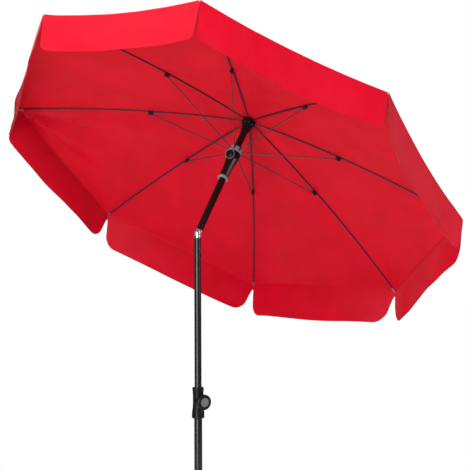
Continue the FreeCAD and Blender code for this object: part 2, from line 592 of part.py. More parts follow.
def panel_shape():
    """One cloth panel centred on a rib, from mid-gore to mid-gore, with its two half flaps of the valance."""
    thick = size("cloth")
    half_gore = math.radians(180.0 / size("rib_count"))
    swing = math.radians(size("tilt")) * size("valance_swing")
    joint, tip = size("joint_reach"), size("rib_reach") + 4
    stations = [size("cloth_inner"), 32, 92, 200, 310, joint - 12, joint + 12, 530, 640, 750, 860, tip]
    hang = size("valance_depth")

    def across(reach, angle, level):
        if angle == 0:
            return Vector(reach, 0, level)
        reach = reach * math.cos(half_gore)
        side = math.copysign(1, angle)
        y = reach * math.sin(half_gore) - size("cloth_gap")
        return Vector(reach * math.cos(half_gore), side * y, level)

    def section(reach, drop, out_step, up_step, turn):
        fall = Vector(math.sin(swing) * drop, 0, -math.cos(swing) * drop)
        fall = Rotation(Vector(0, 0, 1), -turn).multVec(fall)
        inner = [across(reach, a, cloth_level(reach)) + fall for a in (-1, 0, 1)]
        outer = [across(reach + out_step, a, cloth_level(reach) + up_step) + fall for a in (1, 0, -1)]
        return inner + outer

    def panel(turn):
        sections = [section(r, 0, 0, thick, turn) for r in stations[:-1]]
        sections.append(section(stations[-1], 0, thick, thick, turn))
        sections.append(section(stations[-1], hang, thick, 0, turn))
        return facetted_solid(sections)

    return panel


def triangle(a, b, c):
    return Part.Face(Part.makePolygon([a, b, c, a]))


def facetted_solid(sections):
    """A closed solid of flat triangles through rings of six corners.

    A ring runs inner left, rib and right, then outer right, rib and left.
    """
    faces = []
    count = len(sections[0])
    for near, far in zip(sections, sections[1:]):
        for k in range(count):
            n = (k + 1) % count
            if k in (0, 3):
                faces += [triangle(near[k], near[n], far[n]), triangle(near[k], far[n], far[k])]
            else:
                faces += [triangle(near[k], near[n], far[k]), triangle(near[n], far[n], far[k])]
    for ends in (sections[0], sections[-1]):
        left = (ends[0], ends[1], ends[4], ends[5])
        right = (ends[1], ends[2], ends[3], ends[4])
        for a, b, c, d in (left, right):
            faces += [triangle(a, b, c), triangle(a, c, d)]
    return Part.makeSolid(Part.makeShell(faces))


def notch_tool(turn):
    """The wedge cut out of the valance below a rib, so that the flaps hang free of each other."""
    reach = size("rib_reach")
    level = cloth_level(reach)
    swing = math.radians(size("tilt")) * size("valance_swing")
    fall = Rotation(Vector(0, 0, 1), -turn).multVec(Vector(math.sin(swing), 0, -math.cos(swing)))
    top = Vector(reach - 60, 0, level) + fall * size("notch_apex")
    deep = Vector(reach - 60, 0, level) + fall * (size("valance_depth") + 40)
    side = Vector(0, size("notch_half_width"), 0)
    corners = [top, deep + side, deep - side]
    return Part.Face(Part.makePolygon(corners + [corners[0]])).extrude(Vector(120, 0, 0))


def folding_frame_and_cloth():
    rib = rib_shape()
    stretcher = stretcher_shape()
    fittings = fittings_shape()
    panel = panel_shape()
    tip_room = tip_cap(0.3)
    for i, angle in enumerate(rib_angles(), start=1):
        place = STICK.multiply(Placement(Vector(), Rotation(Vector(0, 0, 1), angle)))
        shape_node("rib_%d" % i, rib, place)
        shape_node("rib_fittings_%d" % i, fittings, place)
        shape_node("stretcher_%d" % i, stretcher, place)
        shape_node("canopy_panel_%d" % i, panel(angle).cut([notch_tool(angle), tip_room]), place)


# ---------------------------------------------------------------- build, check and export
def check_and_export():
    doc.recompute()
    bad = [o.Label for o in doc.Objects if {"Invalid", "Error"} & set(o.State)]
    if bad:
        raise RuntimeError("objects failed to compute: " + ", ".join(bad))
    os.makedirs("parts", exist_ok=True)
    for feature in NODES:
        shape = feature.Shape
        if shape.isNull() or not shape.isValid() or not shape.Solids:
            raise RuntimeError("no valid solid in " + feature.Label)
    for feature in NODES:
        feature.Shape.exportStep(os.path.join("parts", feature.Label + ".step"))
        solids, volume = len(feature.Shape.Solids), feature.Shape.Volume
        print("%-22s %2d solid(s) %12.0f mm3" % (feature.Label, solids, volume))
    print(len(NODES), "sub-parts")


stand()
poles()
height_collar()
knee()
crown()
runner()
folding_frame_and_cloth()
check_and_export()
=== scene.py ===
"""A tilting patio parasol seen from below: cloth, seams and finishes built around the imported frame."""
import json
import math

import bpy
from mathutils import Matrix, Vector, noise


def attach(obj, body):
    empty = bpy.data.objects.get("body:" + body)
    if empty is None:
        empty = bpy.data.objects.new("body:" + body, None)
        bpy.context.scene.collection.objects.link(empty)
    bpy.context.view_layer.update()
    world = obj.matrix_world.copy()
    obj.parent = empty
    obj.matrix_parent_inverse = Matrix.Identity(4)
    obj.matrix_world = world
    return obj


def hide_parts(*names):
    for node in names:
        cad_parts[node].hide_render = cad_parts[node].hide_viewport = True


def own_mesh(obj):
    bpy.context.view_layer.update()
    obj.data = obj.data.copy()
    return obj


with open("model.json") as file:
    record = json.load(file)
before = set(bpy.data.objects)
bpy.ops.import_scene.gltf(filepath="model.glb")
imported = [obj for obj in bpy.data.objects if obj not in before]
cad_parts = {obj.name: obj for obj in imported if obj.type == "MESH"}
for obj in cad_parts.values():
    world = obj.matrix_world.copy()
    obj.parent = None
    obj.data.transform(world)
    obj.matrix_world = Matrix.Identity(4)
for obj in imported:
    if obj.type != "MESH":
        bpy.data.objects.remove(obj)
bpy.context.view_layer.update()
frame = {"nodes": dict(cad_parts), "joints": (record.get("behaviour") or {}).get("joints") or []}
NODES = frame["nodes"]
JOINTS = {j["name"]: j for j in frame["joints"]}
UP = Vector((0, 0, 1))

# ---------------------------------------------------------------- the frame's own measures, in metres
KNEE = Vector(JOINTS["canopy_tilt"]["pos_m"])
TILT = math.radians(-JOINTS["canopy_tilt"]["range_deg"][0])
RIB_COUNT = sum(name.startswith("rib_") and name.endswith("_fold") for name in JOINTS)
GORE = 2 * math.pi / RIB_COUNT
LEAN = Matrix.Rotation(TILT, 4, "Y")
STICK = Matrix.Translation(KNEE) @ LEAN            # the stick's frame: origin at the knee, +Z along the stick
CROWN_LEVEL = 0.584
RIM_REACH = 0.982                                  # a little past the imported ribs' reach
CLOTH_INNER = 0.016
HUB_REST = 0.5912
CLOTH_LIFT = 0.0042


def rib_angle(i):
    """Where rib i stands round the stick, from its hinge."""
    local = STICK.inverted() @ Vector(JOINTS["rib_%d_fold" % i]["pos_m"])
    return math.atan2(local.y, local.x)


RIB_ANGLES = [rib_angle(i) for i in range(1, RIB_COUNT + 1)]

# ---------------------------------------------------------------- camera
CAMERA_FROM_KNEE = Vector((-4.695, -3.499, 0.199))
LOOK = Vector((0.8163, 0.5766, -0.0349)).normalized()
ROLL = math.radians(-0.13)
LENS_MM = 112.5


def make_camera():
    data = bpy.data.cameras.new("camera")
    data.sensor_width = 36
    data.lens = LENS_MM
    data.clip_end = 200
    camera = bpy.data.objects.new("camera", data)
    turn = LOOK.to_track_quat("-Z", "Y").to_matrix().to_4x4()
    camera.matrix_world = Matrix.Translation(KNEE + CAMERA_FROM_KNEE) @ turn @ Matrix.Rotation(ROLL, 4, "Z")
    bpy.context.scene.collection.objects.link(camera)
    bpy.context.scene.camera = camera


# ---------------------------------------------------------------- node helpers for materials
class Shader:
    """A small wrapper that adds nodes to one material and links them."""

    def __init__(self, name, base, roughness, metallic=0.0, specular=0.5):
        self.material = bpy.data.materials.new(name)
        self.material.use_nodes = True
        self.tree = self.material.node_tree
        self.surface = self.tree.nodes["Principled BSDF"]
        self.output = self.tree.nodes["Material Output"]
        self.surface.inputs["Base Color"].default_value = (*base, 1)
        self.surface.inputs["Roughness"].default_value = roughness
        self.surface.inputs["Metallic"].default_value = metallic
        self.surface.inputs["Specular IOR Level"].default_value = specular

    def add(self, kind, **settings):
        made = self.tree.nodes.new(kind)
        for key, value in settings.items():
            if key in made.inputs:
                made.inputs[key].default_value = value
            else:
                setattr(made, key, value)
        return made

    def link(self, source, target):
        self.tree.links.new(source, target)

    def position(self):
        return self.add("ShaderNodeTexCoord").outputs["Object"]

    def noise(self, scale, detail=3.0, stretch=None, roughness=0.5):
        """A noise field over the surface, stretched along axes when asked."""
        field = self.add("ShaderNodeTexNoise", Scale=scale, Detail=detail, Roughness=roughness)
        where = self.position()
        if stretch:
            mapping = self.add("ShaderNodeMapping", Scale=stretch)
            self.link(where, mapping.inputs["Vector"])
            where = mapping.outputs["Vector"]
        self.link(where, field.inputs["Vector"])
        return field.outputs["Fac"]

    def ramp(self, source, low, high, low_at=0.3, high_at=0.7):
        """The source remapped from low to high between two positions: numbers or colours."""
        node = self.add("ShaderNodeValToRGB")
        node.color_ramp.elements[0].position = low_at
        node.color_ramp.elements[1].position = high_at
        as_colour = lambda v: (*v, 1) if hasattr(v, "__len__") else (v, v, v, 1)
        node.color_ramp.elements[0].color = as_colour(low)
        node.color_ramp.elements[1].color = as_colour(high)
        self.link(source, node.inputs["Fac"])
        return node.outputs["Color"]

    def colour_from(self, source, low, high, low_at=0.3, high_at=0.7):
        self.link(self.ramp(source, low, high, low_at, high_at), self.surface.inputs["Base Color"])

    def roughness_from(self, source, low, high, low_at=0.3, high_at=0.7):
        self.link(self.ramp(source, low, high, low_at, high_at), self.surface.inputs["Roughness"])

    def bump_from(self, *layers):
        """Stacks bump layers, each (height source, strength, distance in metres)."""
        normal = None
        for source, strength, distance in layers:
            bump = self.add("ShaderNodeBump", Strength=strength, Distance=distance)
            self.link(source, bump.inputs["Height"])
            if normal is not None:
                self.link(normal, bump.inputs["Normal"])
            normal = bump.outputs["Normal"]
        self.link(normal, self.surface.inputs["Normal"])


# ---------------------------------------------------------------- materials
CLOTH_RED = (0.66, 0.0012, 0.022)
CLOTH_RED_DEEP = (0.59, 0.0008, 0.017)
THREAD_PITCH = 0.0011


CLOTH_SPECULAR = 0.14
THROUGH_RED = (0.78, 0.012, 0.03)
PANEL_SHEEN, FLAP_SHEEN = 0.16, 0.60              # one finish on panels and seams, a hazier one on the flaps


def cloth_material(name, light, through_share, sheen=PANEL_SHEEN):
    """Woven polyester: crossing threads along the flat sheet, mottled dye and some light through; light
    scales the colour, and below one it paints shade into it.
    """
    s = Shader(name, CLOTH_RED, 0.6, specular=CLOTH_SPECULAR)
    # light scales both tones of the dye: painted shade where it is below one
    deep = tuple(c * light for c in CLOTH_RED_DEEP)
    bright = tuple(c * light for c in CLOTH_RED)
    s.surface.inputs["Sheen Weight"].default_value = sheen
    s.surface.inputs["Sheen Roughness"].default_value = 0.30
    s.surface.inputs["Sheen Tint"].default_value = (1.0, 0.55, 0.55, 1)
    flat = s.add("ShaderNodeUVMap").outputs["UV"]
    threads = []
    for axis in ("X", "Y"):
        wave = s.add("ShaderNodeTexWave", Scale=1.0 / THREAD_PITCH / 6.2832 * 2, Distortion=0.6,
                     wave_type="BANDS", bands_direction=axis)
        wave.inputs["Detail"].default_value = 1.0
        s.link(flat, wave.inputs["Vector"])
        threads.append(wave.outputs["Fac"])
    crossed = s.add("ShaderNodeMath", operation="MULTIPLY")
    s.link(threads[0], crossed.inputs[0])
    s.link(threads[1], crossed.inputs[1])
    mottle = s.noise(7.0, detail=6.0, roughness=0.62)
    slub = s.noise(60.0, detail=2.0, stretch=(1.0, 1.0, 0.25))
    s.colour_from(mottle, deep, bright, 0.32, 0.66)
    s.roughness_from(slub, 0.38, 0.48)
    s.bump_from((mottle, 0.25, 0.004), (crossed.outputs[0], 0.35, 0.0004), (slub, 0.12, 0.0006))
    through = s.add("ShaderNodeBsdfTranslucent")
    lit_dye = s.ramp(mottle, tuple(c * 1.05 for c in bright), THROUGH_RED, 0.32, 0.66)
    s.link(lit_dye, through.inputs["Color"])
    mixed = s.add("ShaderNodeMixShader", Fac=through_share)
    s.link(s.surface.outputs["BSDF"], mixed.inputs[1])
    s.link(through.outputs["BSDF"], mixed.inputs[2])
    s.link(mixed.outputs["Shader"], s.output.inputs["Surface"])
    return s.material


def thread_material():
    s = Shader("stitching_thread", (0.46, 0.002, 0.012), 0.7, specular=0.3)
    s.bump_from((s.noise(900.0, detail=1.0), 0.4, 0.0002))
    return s.material


def enamel_material(name, base, roughness, specular=0.3):
    """Powder-coated tube: rubbed streaks along the pole, in its gloss and as a faint bump, and paler patches
    of dust.
    """
    s = Shader(name, base, roughness, specular=specular)
    streaks = s.noise(14.0, detail=5.0, stretch=(6.0, 6.0, 0.35))
    s.roughness_from(streaks, roughness * 0.8, roughness * 1.35)
    s.colour_from(s.noise(3.0, detail=4.0), base, tuple(c * 1.3 + 0.001 for c in base))
    s.bump_from((streaks, 0.012, 0.0005))
    return s.material


def plastic_material(name, base, roughness):
    """Moulded plastic with a fine spark-eroded grain and handled, shinier patches."""
    s = Shader(name, base, roughness, specular=0.14)
    patches = s.noise(22.0, detail=4.0)
    s.roughness_from(patches, roughness * 0.8, roughness * 1.2)
    s.colour_from(patches, base, tuple(c * 1.35 + 0.002 for c in base))
    s.bump_from((s.noise(1500.0, detail=2.0), 0.22, 0.0002))
    return s.material


def metal_material(name, base, roughness, stretch=(1, 1, 1)):
    """Bare or plated metal with fine drawn lines and a little tarnish."""
    s = Shader(name, base, roughness, metallic=1.0)
    lines = s.noise(160.0, detail=4.0, stretch=stretch)
    s.roughness_from(lines, roughness * 0.7, roughness * 1.5)
    s.colour_from(s.noise(30.0, detail=3.0), tuple(c * 0.86 for c in base), base)
    s.bump_from((lines, 0.006, 0.00004))
    return s.material


def rubber_material():
    s = Shader("rubber_foot", (0.03, 0.03, 0.03), 0.8, specular=0.3)
    s.roughness_from(s.noise(40.0), 0.7, 0.92)
    s.bump_from((s.noise(600.0, detail=3.0), 0.3, 0.0004))
    return s.material


def concrete_material():
    """Cast stone: speckled aggregate and pinholes."""
    s = Shader("cast_stone", (0.42, 0.41, 0.39), 0.85, specular=0.3)
    speckle = s.noise(260.0, detail=6.0, roughness=0.7)
    s.colour_from(speckle, (0.30, 0.29, 0.28), (0.52, 0.51, 0.48), 0.35, 0.62)
    holes = s.add("ShaderNodeTexVoronoi", Scale=70.0)
    s.link(s.position(), holes.inputs["Vector"])
    pits = s.ramp(holes.outputs["Distance"], 0.0, 1.0, 0.05, 0.22)
    s.roughness_from(s.noise(12.0, detail=4.0), 0.75, 0.95)
    s.bump_from((speckle, 0.35, 0.0012), (pits, 0.3, 0.0012))
    return s.material


CLOTH = cloth_material("canopy_cloth_red", 1.0, 0.42)
FLAP_CLOTH = cloth_material("canopy_valance_red", 1.0, 0.34, sheen=FLAP_SHEEN)
# The seam tape's colour at 0.72 is painted shade along the rib; its doubled cloth letting less light through
# is real.
SEAM_CLOTH_PAINTED_SHADE = cloth_material("canopy_seam_red_painted_shade", 0.72, 0.10)
THREAD = thread_material()
BLACK_STEEL = enamel_material("black_enamel", (0.006, 0.006, 0.007), 0.20, specular=0.45)
STICK_STEEL = enamel_material("black_enamel_upper", (0.005, 0.005, 0.006), 0.28, specular=0.2)
BLACK_PLASTIC = plastic_material("black_moulded", (0.004, 0.004, 0.005), 0.34)
GREY_PLASTIC = plastic_material("grey_moulded", (0.085, 0.088, 0.092), 0.45)
RING_PLASTIC = plastic_material("light_grey_moulded", (0.16, 0.16, 0.165), 0.45)
CHROME = metal_material("bright_chrome", (0.72, 0.72, 0.74), 0.30)
ZINC = metal_material("zinc_plate", (0.60, 0.60, 0.62), 0.34)
BRASS = metal_material("brass_pad", (0.75, 0.56, 0.25), 0.30)
RIB_STEEL = enamel_material("rib_enamel", (0.008, 0.008, 0.009), 0.40)
STRETCHER_STEEL = enamel_material("stretcher_enamel", (0.022, 0.020, 0.020), 0.42)
CLIP_PLASTIC = plastic_material("clip_moulded", (0.008, 0.008, 0.008), 0.5)
TIP_STEEL = metal_material("tip_steel", (0.34, 0.34, 0.35), 0.34)

NODE_MATERIALS = {
    "base_slab": concrete_material(), "base_feet": rubber_material(), "base_socket": BLACK_STEEL,
    "lower_pole": BLACK_STEEL, "upper_pole": BLACK_STEEL, "stick_tube": STICK_STEEL,
    "socket_bolts": ZINC, "knee_pin": ZINC, "crown_wire": ZINC, "runner_button_spring": ZINC,
    "knee_fork": CHROME, "knee_tongue": CHROME, "clamp_shoe": BRASS,
    "clamp_knob_cap": GREY_PLASTIC, "runner_inlay": GREY_PLASTIC, "runner_rings": RING_PLASTIC,
}


def finish_cad_nodes():
    """Each carried-over node gets a full material; a rib's fittings get two, for clip and tip cap."""
    for name, node in NODES.items():
        if name.startswith("rib_fittings"):
            materials = [CLIP_PLASTIC, TIP_STEEL]
        elif name.startswith("rib_"):
            materials = [RIB_STEEL]
        elif name.startswith("stretcher_"):
            materials = [STRETCHER_STEEL]
        else:
            materials = [NODE_MATERIALS.get(name, BLACK_PLASTIC)]
        node.data.materials.clear()
        for material in materials:
            node.data.materials.append(material)
        if len(materials) == 2:
            to_stick = STICK.inverted()
            for face in node.data.polygons:
                at = to_stick @ face.center
                face.material_index = 1 if math.hypot(at.x, at.y) > 0.9 else 0


# ---------------------------------------------------------------- the cloth's shape, in the stick's frame
DOWN = LEAN.inverted().to_3x3() @ -UP
VALANCE_SWING = 0.6 * TILT
VALANCE_FALL = Vector((math.sin(VALANCE_SWING), 0, -math.cos(VALANCE_SWING)))
VALANCE_DEPTH = 0.137
# Gores in order, gore k between ribs k and k + 1: how far its rim hangs in at the middle, how far its flap
# swings out at its first and last rib, and how its two lower corners are cut (slant, radius) by the notch.
RIM_SAG = [0.034, 0.004, -0.010, 0.022, 0.019, 0.016, 0.004, 0.040]
FLAP_SWING = [(0.008, 0.004), (0.006, 0.036), (0.020, 0.010), (0, 0)]
FLAP_SWING += [(0, 0), (0, 0.004), (0.016, 0.018), (0.010, 0.012)]
CUT_STEEP, CUT_SLANTED, CUT_SQUARE = (0.010, 0.042), (0.036, 0.052), (0.008, 0.020)
CUT_CLOSED = (-0.006, 0.030)
FLAP_CUTS = [(CUT_SLANTED, CUT_STEEP), (CUT_SLANTED, CUT_CLOSED), (CUT_CLOSED, CUT_SQUARE)]
FLAP_CUTS += [(CUT_SQUARE, CUT_SQUARE)] * 2 + [(CUT_SLANTED, CUT_STEEP)] * 3
# Folds that fan out from a rib tip into a gore: (height, reach, folds per radian) at its first and last rib.
QUIET = (0.0012, 0.14, 15)
TIP_FOLDS = [(QUIET, QUIET), ((0.0035, 0.20, 12), (0.0280, 0.36, 12)), ((0.0050, 0.24, 12), QUIET)]
TIP_FOLDS += [(QUIET, QUIET), (QUIET, QUIET), (QUIET, (0.0035, 0.20, 13))]
TIP_FOLDS += [((0.0045, 0.24, 12), (0.0035, 0.20, 13)), (QUIET, QUIET)]
NOTCH_APEX = 0.024
SLACK_WAVE, SMALL_WAVE = 0.0030, 0.0010
PANEL_SAG = 0.010
ROWS = 64
COLUMNS = 22
HEM_WIDTH = 0.011
TAPE_HALF_WIDTH = 0.009


def rib_drop(reach):
    """How far a rib lies below the crown: the slope and bend of its arc."""
    return 0.1185 * reach + 0.10626 * reach * reach


def cloth_level(reach):
    on_hub = HUB_REST
    on_rib = CROWN_LEVEL - rib_drop(reach) + CLOTH_LIFT
    blend = min(max((reach - 0.032) / 0.060, 0), 1)
    return on_hub * (1 - blend) + on_rib * blend


def tip_folds(point, gore):
    """Height of the folds that fan out from a gore's two rib tips."""
    height = 0.0
    for end, (tall, spread, rate) in enumerate(TIP_FOLDS[gore]):
        angle = RIB_ANGLES[gore] + GORE * end
        away = Vector((point.x, point.y)) - RIM_REACH * Vector((math.cos(angle), math.sin(angle)))
        bearing = (math.atan2(away.y, away.x) - angle) % (2 * math.pi)
        near = 1 - math.exp(-(away.length / 0.07) ** 2)
        height += tall * near * math.exp(-(away.length / spread) ** 2) * math.sin(bearing * rate + 2.1 * gore)
    return height


def ripple(point, gore, reach):
    """Height of all the small folds; they ease off towards the crown."""
    height = tip_folds(point, gore)
    height += SLACK_WAVE * (reach / RIM_REACH) * noise.noise(point * 3.1 + Vector((1.7, 4.2, 0.3)))
    height += SMALL_WAVE * noise.noise(point * 11.0)
    return height


def gore_share(rib, across, side=None):
    """Which gore a place on a panel belongs to, and how far over from that gore's first rib it is, 0 to 1."""
    if (side or (1 if across >= 0 else -1)) > 0:
        return rib, across
    return (rib - 1) % RIB_COUNT, 1 + across


def cloth_point_in_gore(gore, share, reach):
    left, right = RIB_ANGLES[gore], RIB_ANGLES[gore] + GORE
    level = cloth_level(reach)
    ends = [Vector((reach * math.cos(a), reach * math.sin(a), level)) for a in (left, right)]
    point = ends[0].lerp(ends[1], share)
    bow = 4 * share * (1 - share)
    out = reach / RIM_REACH
    inward = Vector((-math.cos(left + GORE / 2), -math.sin(left + GORE / 2), -0.35))
    sag = PANEL_SAG * bow * math.sin(math.pi * min(out, 1))
    point = point + DOWN * sag + inward * (RIM_SAG[gore] * bow * out ** 3)
    hold = min(share, 1 - share) * 14
    point.z += ripple(point, gore, reach) * max(min(hold, 1), 0) * min(reach / 0.1, 1)
    return point


def cloth_point(rib, across, reach):
    """A point of the cloth: across is -0.5 at one gore's middle, 0 on the rib, 0.5 at the next middle."""
    return cloth_point_in_gore(*gore_share(rib, across), reach)


HALF_CHORD = RIM_REACH * math.sin(GORE / 2)


def flap_point(rib, across, drop, edge):
    """A point of the valance, drop metres below the rim; edge is how far the flap's side is off its rib."""
    side = math.copysign(1, across)
    away = abs(across) * 2                        # 0 at the rib, 1 at the middle of the gore
    away = (edge + (HALF_CHORD - edge) * away) / HALF_CHORD
    rim = cloth_point(rib, side * away / 2, RIM_REACH)
    gore, share = gore_share(rib, side * away / 2)
    middle = RIB_ANGLES[gore] + GORE / 2
    outward = Vector((math.cos(middle), math.sin(middle), 0))
    depth = drop / VALANCE_DEPTH
    wave = 0.0045 * depth * math.sin(2 * math.pi * (1.2 + 0.4 * (gore % 3)) * share + 1.3 * gore)
    wave += 0.004 * depth * noise.noise(Vector((share * 6, gore * 3.1, depth * 2)))
    first, last = FLAP_SWING[gore]
    wave += depth ** 1.5 * (first + (last - first) * share)
    wave += 0.9 * min(depth * 3, 1) * tip_folds(rim, gore) * min(away * 4, 1)
    let_down = 1 + 0.4 * max(RIM_SAG[gore], 0) * 4 * share * (1 - share) / VALANCE_DEPTH
    return rim + VALANCE_FALL * drop * let_down + outward * wave


def flap_edge(drop, cut):
    """How far a flap's side stands off its rib: nothing above the notch, then the cut lower corner."""
    slant, radius = cut
    below = max(drop - NOTCH_APEX, 0) / (VALANCE_DEPTH - NOTCH_APEX)
    edge = slant * below ** 0.8 + (0.002 if below > 0 else 0)
    into_corner = drop - (VALANCE_DEPTH - radius)
    if into_corner > 0:
        edge += radius - math.sqrt(max(radius * radius - into_corner * into_corner, 0))
    return edge


def new_mesh_object(name, points, faces, material, flat=None, smooth=True):
    mesh = bpy.data.meshes.new(name)
    mesh.from_pydata([tuple(STICK @ p) for p in points], [], faces)
    mesh.materials.append(material)
    if flat is not None:
        layer = mesh.uv_layers.new(name="flat")
        for loop in mesh.loops:
            layer.data[loop.index].uv = flat[loop.vertex_index]
    for polygon in mesh.polygons:
        polygon.use_smooth = smooth
    made = bpy.data.objects.new(name, mesh)
    bpy.context.scene.collection.objects.link(made)
    return made


CLOTH_THICKNESS = 0.0009


def grid_faces(rows, columns, start=0, flip=False):
    faces = []
    for r in range(rows - 1):
        for c in range(columns - 1):
            a = start + r * columns + c
            face = (a, a + 1, a + columns + 1, a + columns)
            faces.append(face[::-1] if flip else face)
    return faces


def reaches():
    """Stations along a rib, closer together near the crown and at the rim."""
    return [CLOTH_INNER + (RIM_REACH - CLOTH_INNER) * (r / (ROWS - 1)) ** 0.92 for r in range(ROWS)]


def cloth_normal(rib, across, reach):
    """The outward normal, taken inside one gore so that neighbouring panels agree on their shared edge."""
    step = 0.004
    side = 1 if across >= 0 else -1
    near, far = side * max(abs(across) - step, 1e-6), side * (abs(across) + step)
    in_gore = lambda a, r: cloth_point_in_gore(*gore_share(rib, a, side), r)
    along = in_gore(across, reach + step) - in_gore(across, reach - step)
    sideways = (in_gore(far, reach) - in_gore(near, reach)) * side
    normal = along.cross(sideways)
    return normal.normalized()


def flap_normal(rib, across, drop, edge):
    step = 0.004
    side = 1 if across >= 0 else -1
    near, far = side * max(abs(across) - step, 1e-6), side * (abs(across) + step)
    down = flap_point(rib, across, drop + step, edge) - flap_point(rib, across, drop - step, edge)
    sideways = (flap_point(rib, far, drop, edge) - flap_point(rib, near, drop, edge)) * side
    return down.cross(sideways).normalized()


def two_layers(name, grids, materials):
    """A closed thin sheet from grids of rows of (point, normal, flat, thickness): two layers and the edge.

    Each grid comes with the number of its material.
    """
    points, normals, flat, faces, which = [], [], [], [], []
    for grid, material in grids:
        rows, columns = len(grid), len(grid[0])
        before = len(faces)
        layers = []
        for side in (1, -1):
            layers.append(len(points))
            for row in grid:
                for point, normal, at, thickness in row:
                    points.append(point + normal * (side * thickness / 2))
                    normals.append(normal * side)
                    flat.append(at)
        outer, inner = layers
        faces += grid_faces(rows, columns, outer, flip=True)
        faces += grid_faces(rows, columns, inner)
        ring = [(0, c) for c in range(columns)] + [(r, columns - 1) for r in range(1, rows)]
        ring += [(rows - 1, c) for c in range(columns - 2, -1, -1)] + [(r, 0) for r in range(rows - 2, 0, -1)]
        for (r0, c0), (r1, c1) in zip(ring, ring[1:] + ring[:1]):
            a, b = r0 * columns + c0, r1 * columns + c1
            faces.append((outer + a, outer + b, inner + b, inner + a))
        which += [material] * (len(faces) - before)
    made = new_mesh_object(name, points, faces, materials[0], flat)
    for material in materials[1:]:
        made.data.materials.append(material)
    made.data.polygons.foreach_set("material_index", which)
    turn = LEAN.to_3x3()
    made.data.normals_split_custom_set_from_vertices([tuple(turn @ n) for n in normals])
    return made


def rib_normal(rib, reach):
    return (cloth_normal(rib, 1e-5, reach) + cloth_normal(rib, -1e-5, reach)).normalized()


def chord_width(reach):
    return 2 * reach * math.sin(GORE / 2)


def panel_grid(rib):
    """The panel itself, from the middle of one gore to the middle of the next."""
    rows = []
    for reach in reaches():
        row = []
        for c in range(2 * COLUMNS + 1):
            across = (c - COLUMNS) / (2 * COLUMNS)
            normal = rib_normal(rib, reach) if c == COLUMNS else cloth_normal(rib, across, reach)
            if reach == RIM_REACH:
                normal = (normal + flap_normal(rib, across or 1e-5, 0.004, 0)).normalized()
            flat = (across * chord_width(reach), reach)
            row.append((cloth_point(rib, across, reach), normal, flat, CLOTH_THICKNESS))
        rows.append(row)
    return rows


def flap_depths():
    """Depths down the valance, with the folded hems' edges at the rim and at the bottom."""
    plain = [NOTCH_APEX * 0.7, NOTCH_APEX, NOTCH_APEX + 0.0008] + [0.034 + 0.0125 * i for i in range(7)]
    hem = VALANCE_DEPTH - HEM_WIDTH
    bottom = [hem - 0.001, hem, hem + 0.004, hem + 0.0075, hem + 0.010, VALANCE_DEPTH]
    return [0, 0.0035, 0.007, 0.0078] + plain + bottom


def flap_columns():
    """Places across a half flap, with the side hem's edge beside the notch."""
    hem = 0.5 * HEM_WIDTH / HALF_CHORD
    return [1e-6, hem * 0.35, hem, hem * 1.1] + [hem * 1.1 + (0.5 - hem * 1.1) * c / 20 for c in range(1, 21)]


def flap_grid(rib, side):
    """Half of a valance flap beside the rib, with doubled cloth along its hems."""
    gore = gore_share(rib, side * 0.1)[0]
    cut = FLAP_CUTS[gore][0 if side > 0 else 1]
    rows = []
    for depth in flap_depths():
        edge = flap_edge(depth, cut)
        row = []
        for column, share in enumerate(flap_columns()):
            across = side * share
            normal = flap_normal(rib, across, max(depth, 0.004), edge)
            if depth == 0:
                normal = (normal + cloth_normal(rib, across, RIM_REACH)).normalized()
            in_hem = depth <= 0.007 or depth >= VALANCE_DEPTH - HEM_WIDTH
            doubled = in_hem or (column < 3 and depth > NOTCH_APEX)
            thickness = CLOTH_THICKNESS * (2.4 if doubled and depth > 0 else 1)
            at = (across * chord_width(RIM_REACH), RIM_REACH + depth)
            row.append((flap_point(rib, across, depth, edge), normal, at, thickness))
        rows.append(row if side > 0 else row[::-1])
    return rows


def tape_grid(rib):
    """The doubled seam tape sewn along the rib, on the cloth's underside."""
    rows = []
    for reach in reaches()[5:-1]:
        normal = rib_normal(rib, reach)
        row = []
        for share in (-1, -0.9, -0.45, 0, 0.45, 0.9, 1):
            across = share * TAPE_HALF_WIDTH / chord_width(reach)
            below = CLOTH_THICKNESS / 2 + (0.00030 if abs(share) == 1 else 0.00045)
            point = cloth_point(rib, across, reach) - normal * below
            row.append((point, normal, (share * TAPE_HALF_WIDTH, reach), 0.0006))
        rows.append(row)
    return rows


def seam_rows(rib):
    """Stitch lines as (point, normal) on both faces: two beside the rib and one inside each hem."""
    lines = []
    for side in (-1, 1):
        for lift in (1, -1):
            line = []
            for reach in reaches()[6:-1]:
                normal = rib_normal(rib, reach)
                off = CLOTH_THICKNESS / 2 if lift > 0 else CLOTH_THICKNESS / 2 + 0.00075
                across = side * 0.75 * TAPE_HALF_WIDTH / chord_width(reach)
                line.append((cloth_point(rib, across, reach) + normal * (lift * off), normal * lift))
            lines.append(line)
            cut = FLAP_CUTS[gore_share(rib, side * 0.1)[0]][0 if side > 0 else 1]
            for depth in (0.0055, VALANCE_DEPTH - HEM_WIDTH + 0.0015):
                line = []
                edge = flap_edge(depth, cut) + (0.008 if depth > NOTCH_APEX else 0)
                for c in range(33):
                    across = side * max(c / 64, 1e-6)
                    normal = flap_normal(rib, across, depth, edge)
                    point = flap_point(rib, across, depth, edge)
                    line.append((point + normal * (lift * CLOTH_THICKNESS * 1.15), normal * lift))
                lines.append(line)
    return lines


def cloth_panel(rib):
    """One cloth panel on its rib with its two half flaps and its seam tape."""
    grids = [(panel_grid(rib), 0), (flap_grid(rib, -1), 2), (flap_grid(rib, 1), 2), (tape_grid(rib), 1)]
    return two_layers("canopy_cloth_%d" % (rib + 1), grids, [CLOTH, SEAM_CLOTH_PAINTED_SHADE, FLAP_CLOTH])


